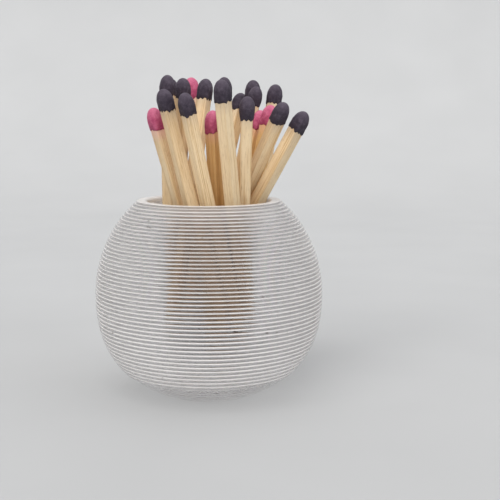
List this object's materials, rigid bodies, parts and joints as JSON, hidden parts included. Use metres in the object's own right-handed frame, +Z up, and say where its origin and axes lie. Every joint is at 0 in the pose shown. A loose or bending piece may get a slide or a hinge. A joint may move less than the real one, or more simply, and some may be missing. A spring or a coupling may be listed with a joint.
{
  "type": "match striker",
  "caption": "Heavy ribbed glass globe with an open well of wooden matches; a match is struck on the ribs round the outside.",
  "frame": {"origin": "centre of the flat base, on the table", "axes": "+Z up through the mouth of the well; the viewer of the picture is on the -Y side"},
  "size_m": [0.05, 0.05, 0.0699],
  "materials": {
    "glass": "clear, pressed ribs",
    "wood": "raw sawn aspen",
    "dark_head": "matt dipped head, dark grey-purple",
    "pink_head": "matt dipped head, pink"
  },
  "bodies": {
    "root": {"glass_globe": "glass", "match_01_splint": "wood", "match_01_head": "pink_head", "match_02_splint": "wood", "match_02_head": "dark_head", "match_03_splint": "wood", "match_03_head": "dark_head", "match_04_splint": "wood", "match_04_head": "dark_head", "match_05_splint": "wood", "match_05_head": "dark_head", "match_06_splint": "wood", "match_06_head": "pink_head", "match_07_splint": "wood", "match_07_head": "dark_head", "match_08_splint": "wood", "match_08_head": "dark_head", "match_09_splint": "wood", "match_09_head": "pink_head", "match_10_splint": "wood", "match_10_head": "dark_head", "match_11_splint": "wood", "match_11_head": "dark_head", "match_12_splint": "wood", "match_12_head": "dark_head", "match_13_splint": "wood", "match_13_head": "dark_head", "match_14_splint": "wood", "match_14_head": "dark_head", "match_15_splint": "wood", "match_15_head": "dark_head", "match_16_splint": "wood", "match_16_head": "dark_head", "match_17_splint": "wood", "match_17_head": "dark_head", "match_18_splint": "wood", "match_18_head": "dark_head", "match_19_splint": "wood", "match_19_head": "pink_head", "match_20_splint": "wood", "match_20_head": "pink_head"}
  },
  "joints": []
}
